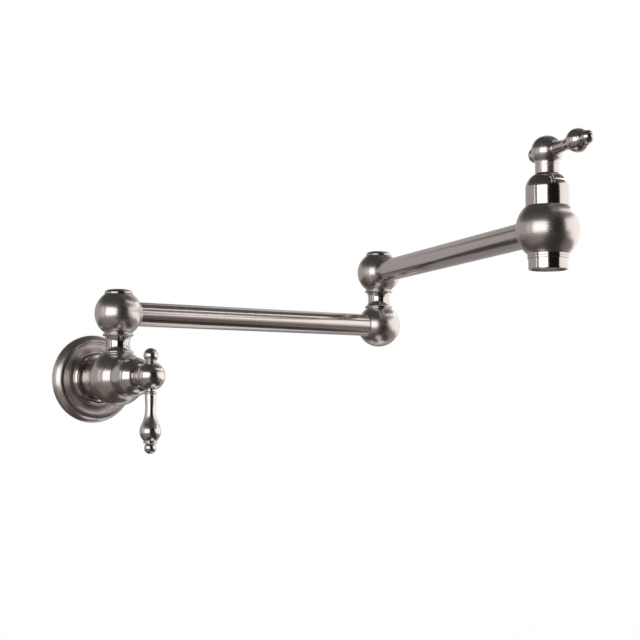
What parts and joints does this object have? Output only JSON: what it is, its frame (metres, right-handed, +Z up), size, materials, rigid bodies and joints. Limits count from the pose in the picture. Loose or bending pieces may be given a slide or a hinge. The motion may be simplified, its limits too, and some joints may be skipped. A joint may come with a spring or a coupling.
{
  "type": "wall mounted pot filler",
  "caption": "Wall mounted pot filler with folding arms on swivel balls, a quarter-turn lever valve at the wall and another above the outlet.",
  "frame": {"origin": "on the inlet axis at the face of the wall, at the mouth of the inlet thread", "axes": "+Z up, +Y along the inlet into the wall, +X along the wall to the right, where the lower arm points at rest"},
  "size_m": [0.3085, 0.3958, 0.22],
  "materials": {
    "satin_nickel": "brushed nickel plate over brass",
    "polished_nickel": "smooth nickel plate over brass",
    "raw_brass": "turned brass",
    "black_rubber": "matt moulded rubber",
    "white_ceramic": "lapped alumina",
    "stainless_steel": "plain stainless steel",
    "white_plastic": "moulded acetal"
  },
  "bodies": {
    "wall_valve": {"wall_flange": "satin_nickel", "flange_gasket": "black_rubber", "flange_lock_ring": "polished_nickel", "inlet_connector": "raw_brass", "inlet_o_rings": "black_rubber", "inlet_seal_washer": "black_rubber", "neck_set_screw": "stainless_steel", "wall_valve_body": "satin_nickel", "wall_cartridge_body": "raw_brass", "wall_cartridge_seal": "black_rubber", "wall_fixed_disc": "white_ceramic", "wall_bonnet": "polished_nickel", "shoulder_spool": "polished_nickel", "shoulder_stem": "raw_brass", "shoulder_o_rings": "black_rubber", "shoulder_thrust_washer": "white_plastic", "shoulder_nut_washer": "raw_brass", "shoulder_stem_nut": "raw_brass"},
    "wall_handle": {"wall_spindle": "raw_brass", "wall_moving_disc": "white_ceramic", "wall_spindle_o_rings": "black_rubber", "wall_spindle_clip": "stainless_steel", "wall_handle_hub": "polished_nickel", "wall_lever": "polished_nickel", "wall_finial": "polished_nickel"},
    "lower_arm": {"shoulder_ball": "satin_nickel", "shoulder_cap": "polished_nickel", "lower_arm_tube": "satin_nickel", "elbow_lower_ball": "satin_nickel", "elbow_spool": "polished_nickel", "elbow_stem": "raw_brass", "elbow_o_rings": "black_rubber", "elbow_thrust_washer": "white_plastic", "elbow_nut_washer": "raw_brass", "elbow_stem_nut": "raw_brass"},
    "upper_arm": {"elbow_upper_ball": "satin_nickel", "elbow_cap": "polished_nickel", "upper_arm_tube": "satin_nickel", "outlet_valve_body": "satin_nickel", "outlet_cartridge_body": "raw_brass", "outlet_cartridge_seal": "black_rubber", "outlet_fixed_disc": "white_ceramic", "outlet_bonnet": "polished_nickel", "aerator_housing": "polished_nickel", "aerator_washer": "black_rubber", "aerator_screen": "stainless_steel", "aerator_straightener": "white_plastic"},
    "outlet_handle": {"outlet_spindle": "raw_brass", "outlet_moving_disc": "white_ceramic", "outlet_spindle_o_rings": "black_rubber", "outlet_spindle_clip": "stainless_steel", "outlet_handle_hub": "polished_nickel", "outlet_lever": "polished_nickel", "outlet_finial": "polished_nickel"}
  },
  "joints": [
    {"name": "shoulder_swivel", "type": "hinge", "parent": "wall_valve", "child": "lower_arm", "pos_m": [0, -0.045, 0.05018], "axis": [0, 0, 1], "range_deg": [-180, 0]},
    {"name": "elbow_swivel", "type": "hinge", "parent": "lower_arm", "child": "upper_arm", "pos_m": [0.255, -0.045, 0.09713], "axis": [0, 0, 1], "continuous": true},
    {"name": "wall_handle_turn", "type": "hinge", "parent": "wall_valve", "child": "wall_handle", "pos_m": [0, -0.09899, 0], "axis": [0, -1, 0], "range_deg": [0, 90]},
    {"name": "outlet_handle_turn", "type": "hinge", "parent": "upper_arm", "child": "outlet_handle", "pos_m": [0.17606, -0.33961, 0.09713], "axis": [0, 0, 1], "range_deg": [0, 90]}
  ]
}
